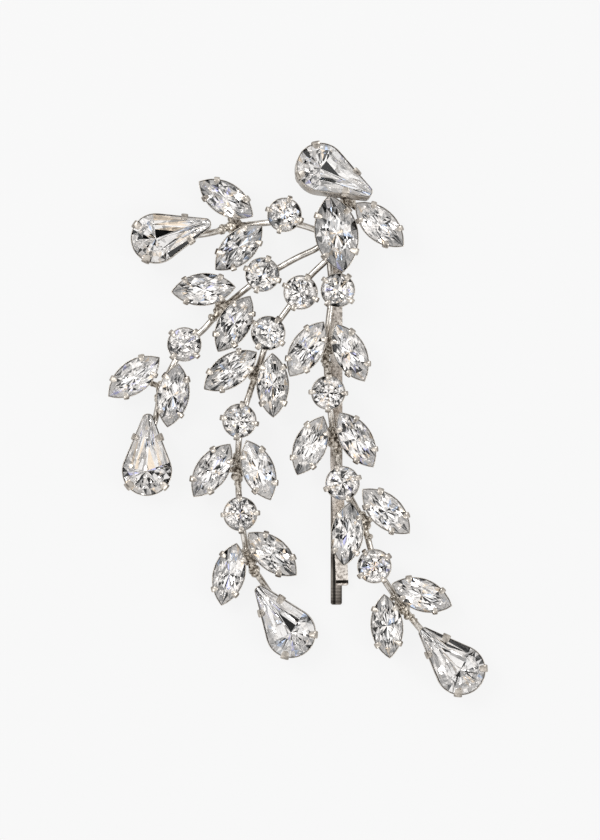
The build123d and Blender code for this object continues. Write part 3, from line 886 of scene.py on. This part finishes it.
clawTree, clawSockets = makeClawTree()
cupMeshes = {kind: makeCup(cut) for kind, cut in cuts.items()}
clawPatterns = {kind: makeClaw(cut) for kind, cut in cuts.items()}
for count, stoneName in enumerate(stoneNodes):
    name = stoneName.replace("_stone", "_setting")
    meshes = []
    for seat in seatsByNode[stoneName]:
        cut = cuts[seat.kind]
        cup = cupMeshes[seat.kind].copy()
        cup.transform(seat.matrix)
        places = []
        for degrees in clawPlan["angles"][seat.kind]:
            angle = math.radians(degrees)
            outline = cut.point(angle, grow=settingPlan["overStone"] * mm)
            turn = Matrix.Rotation(cut.facing(angle), 4, "Z")
            places.append(seat.matrix @ Matrix.Translation(outline) @ turn)
        points = pointsObject(name + "_claws", places)
        claws = bakeTree(points, clawTree, {
            clawSockets["Pattern"]: clawPatterns[seat.kind],
            clawSockets["Claw Width"]: 1.0,
            clawSockets["Width Spread"]: clawPlan["widthSpread"],
            clawSockets["Seed"]: clawPlan["seedStep"] * count + len(meshes),
            clawSockets["Metal"]: cupMetal,
        })
        bpy.data.objects.remove(points)
        meshes += [cup, claws]
    piece = joinMeshes(name.replace("_setting", "_claws_and_cup"), meshes)
    piece.data.shade_smooth()
    piece.data.set_sharp_from_angle(angle=math.radians(settingPlan["smoothAngle"]))
    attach(piece, "spray")
    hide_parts(name)
for pattern in clawPatterns.values():
    bpy.data.objects.remove(pattern)
print("settings made:", len(stoneNodes))


# Wires: the CAD stems with solder run into their joints

solderPlan = {
    "grain": 0.1,              # size of the smallest lump that shows
    "blobsPerJoint": 46,
    "blobSize": (0.2, 0.55),
    "heap": (1.5, 0.8),        # how much bigger blobs are at a joint's middle, and at its edge
    "jointReach": 3.0,         # how far from a joint the solder runs
    "smoothing": 3,
    "swell": 0.12,             # how far the lumps stand out
    "lumpSize": (0.55, 0.22),  # coarse lumps, and finer ones on them
    "fineShare": 0.6,
    "fade": 1.4,               # lumps die out at this many times the joint's reach
    "fullTone": 1.6,           # how quickly the solder's own colour takes over
    "seed": 5,
}


def flattened(point):
    # the same place, seen from above
    return Vector((point.x, point.y, 0))


def jointSpots():
    # between the inner tips of each pair of leaves, which is where they were soldered
    spots = []
    for stoneName, seats in seatsByNode.items():
        if len(seats) != 2:
            continue
        first, second = seats
        if first.kind == second.kind:
            spots.append((first.culet + second.culet) / 2)
        else:
            tips = [second.culet + second.along * second.length * side for side in (1, -1)]
            spots.append(min(tips, key=lambda tip: (tip - first.culet).length))
    return spots


def makeStem(nodeName, spots):
    # blobs of solder on the CAD stem, merged into one skin with it and made lumpy
    plan = solderPlan
    reach = plan["jointReach"] * mm
    middleHeap, edgeHeap = plan["heap"]
    coarse, fine = plan["lumpSize"]
    shape = bmesh.new()
    shape.from_mesh(nodes[nodeName].data)
    bmesh.ops.remove_doubles(shape, verts=shape.verts, dist=weldGap)
    chance = random.Random(plan["seed"])
    corners = [vert.co.copy() for vert in shape.verts]
    joints = []
    for spot in spots:
        middle = flattened(spot)
        apart = [(flattened(corner) - middle).length for corner in corners]
        close = sorted((round(gap, 7), index) for index, gap in enumerate(apart) if gap < reach)
        if not close:
            continue
        joints.append(middle)
        for blob in range(plan["blobsPerJoint"]):
            index = close[chance.randrange(len(close))][1]
            size = chance.uniform(*plan["blobSize"]) * mm
            size *= middleHeap - (middleHeap - edgeHeap) * apart[index] / reach
            bmesh.ops.create_icosphere(shape, subdivisions=2, radius=size,
                                       matrix=Matrix.Translation(corners[index]))
    mesh = bpy.data.meshes.new(nodeName)
    shape.to_mesh(mesh)
    shape.free()
    piece = addToScene(nodeName.replace("_stem", "_wire"), mesh)
    remesh = piece.modifiers.new("remesh", "REMESH")
    remesh.mode = "VOXEL"
    remesh.voxel_size = plan["grain"] * mm
    smooth = piece.modifiers.new("smooth", "SMOOTH")
    smooth.factor = 0.5
    smooth.iterations = plan["smoothing"]
    bpy.context.view_layer.update()
    graph = bpy.context.evaluated_depsgraph_get()
    merged = bpy.data.meshes.new_from_object(piece.evaluated_get(graph))
    piece.modifiers.clear()
    piece.data = merged
    normals = [vert.normal.copy() for vert in merged.vertices]
    tones = []
    for vert, normal in zip(merged.vertices, normals):
        gap = min(((flattened(vert.co) - joint).length for joint in joints), default=1.0)
        share = max(0.0, 1 - gap / (plan["fade"] * reach))
        lumps = noise.noise(vert.co / (coarse * mm))
        lumps += plan["fineShare"] * noise.noise(vert.co / (fine * mm))
        vert.co += normal * lumps * plan["swell"] * mm * share
        vert.co.z = max(vert.co.z, 0.0)
        tones.append(min(1.0, plan["fullTone"] * share))
    solder = merged.attributes.new("solder", "FLOAT", "POINT")
    solder.data.foreach_set("value", tones)
    merged.materials.clear()
    merged.materials.append(wireMetal)
    merged.shade_smooth()
    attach(piece, "spray")
    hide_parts(nodeName)
    print("  ", piece.name, len(merged.polygons), "faces,", len(joints), "soldered joints")


spots = jointSpots()
stemNodes = [name for name in sorted(nodes) if name.endswith("_stem")]
for name in stemNodes:
    makeStem(name, spots)
print("stems soldered:", len(stemNodes))

# the pin's two legs keep their CAD shape and get their steel
for name, steel in (("pin_front_leg", frontSteel), ("pin_back_leg", backSteel)):
    nodes[name].data.materials.clear()
    nodes[name].data.materials.append(steel)


# Studio: a glowing paper floor, a tent of sky and two soft panels

studio = {
    "floorSize": 3.0,          # metres
    "floorDrop": 0.02,
    "floorGlow": 0.86,         # what the floor shines of its own, so that shadows stay faint
    "floorBounce": 0.05,
    "backdrop": 0.939,         # what the camera sees past the floor
    "skyPatches": 2.6,         # more of them makes the bright and dark patches smaller
    "skyGaps": [(0.37, grey(0.1)), (0.43, grey(1.3))],    # dark gaps between bright cloth
    "skyLevels": [(0.0, grey(0.8)), (0.25, grey(0.9)), (0.45, grey(1.0)), (0.97, grey(1.0)),
                  (0.99, grey(0.4))],                     # from the horizon to straight up
    "panels": [                # name, place, size and power
        ("keyPanel", (-0.5, 0.35, 0.7), (0.35, 0.5), 4.0),
        ("fillPanel", (0.6, -0.2, 0.55), (0.25, 0.4), 2.0),
    ],
    "cameraHeight": 1.5,       # metres above the stones
    "stoneLevel": 6.0,         # how high the stones' faces lie
    "viewHeight": 130.2,
    "viewCentre": (-5.65, -1.26),
    "sensorHeight": 36.0,
}


def makeFloor():
    half = studio["floorSize"] / 2
    corners = [(-half, -half, 0), (half, -half, 0), (half, half, 0), (-half, half, 0)]
    material, shader = makeMaterial("paper")
    shader.inputs["Base Color"].default_value = (*grey(studio["floorBounce"]), 1)
    shader.inputs["Roughness"].default_value = 1.0
    shader.inputs["Specular IOR Level"].default_value = 0.0
    shader.inputs["Emission Color"].default_value = (1, 1, 1, 1)
    shader.inputs["Emission Strength"].default_value = studio["floorGlow"]
    floor = addToScene("floor", plainMesh("floor", corners, [(0, 1, 2, 3)], material))
    floor.location.z = -studio["floorDrop"] * mm


def makeSky():
    # a bright tent with dark gaps, which is what gives cut stones their black facets
    world = bpy.data.worlds.new("tent")
    bpy.context.scene.world = world
    world.use_nodes = True
    tree = world.node_tree
    back = tree.nodes["Background"]
    place = addNode(tree, "ShaderNodeTexCoord")
    patches = addNode(tree, "ShaderNodeTexNoise")
    patches.inputs["Scale"].default_value = studio["skyPatches"]
    patches.inputs["Detail"].default_value = 1.0
    gaps = addNode(tree, "ShaderNodeValToRGB")
    fillRamp(gaps, studio["skyGaps"])
    split = addNode(tree, "ShaderNodeSeparateXYZ")
    levels = addNode(tree, "ShaderNodeValToRGB")
    fillRamp(levels, studio["skyLevels"])
    plain = addNode(tree, "ShaderNodeBackground")
    plain.inputs["Color"].default_value = (*grey(studio["backdrop"]), 1)
    rays = addNode(tree, "ShaderNodeLightPath")
    choose = addNode(tree, "ShaderNodeMixShader")
    link = tree.links.new
    link(place.outputs["Generated"], patches.inputs["Vector"])
    link(patches.outputs["Fac"], gaps.inputs["Fac"])
    link(place.outputs["Generated"], split.inputs["Vector"])
    link(split.outputs["Z"], levels.inputs["Fac"])
    link(multiply(tree, gaps.outputs["Color"], levels.outputs["Color"]), back.inputs["Color"])
    link(rays.outputs["Is Camera Ray"], choose.inputs["Fac"])
    link(back.outputs["Background"], choose.inputs[1])
    link(plain.outputs["Background"], choose.inputs[2])
    link(choose.outputs["Shader"], tree.nodes["World Output"].inputs["Surface"])


def makePanel(name, place, size, power):
    light = bpy.data.lights.new(name, "AREA")
    light.shape = "RECTANGLE"
    light.size, light.size_y = size
    light.energy = power
    panel = addToScene(name, light)
    panel.location = place
    panel.rotation_euler = (-Vector(place)).to_track_quat("-Z", "Y").to_euler()


def makeCamera():
    camera = bpy.data.cameras.new("camera")
    camera.sensor_fit = "VERTICAL"
    camera.sensor_height = studio["sensorHeight"]
    camera.lens = camera.sensor_height * studio["cameraHeight"] / (studio["viewHeight"] * mm)
    camera.clip_start = 0.01
    camera.clip_end = 20.0
    eye = addToScene("camera", camera)
    x, y = studio["viewCentre"]
    eye.location = (x * mm, y * mm, studio["cameraHeight"] + studio["stoneLevel"] * mm)
    bpy.context.scene.camera = eye


makeFloor()
makeSky()
for panel in studio["panels"]:
    makePanel(*panel)
makeCamera()
bpy.context.scene.view_settings.view_transform = "Standard"
print("studio ready")
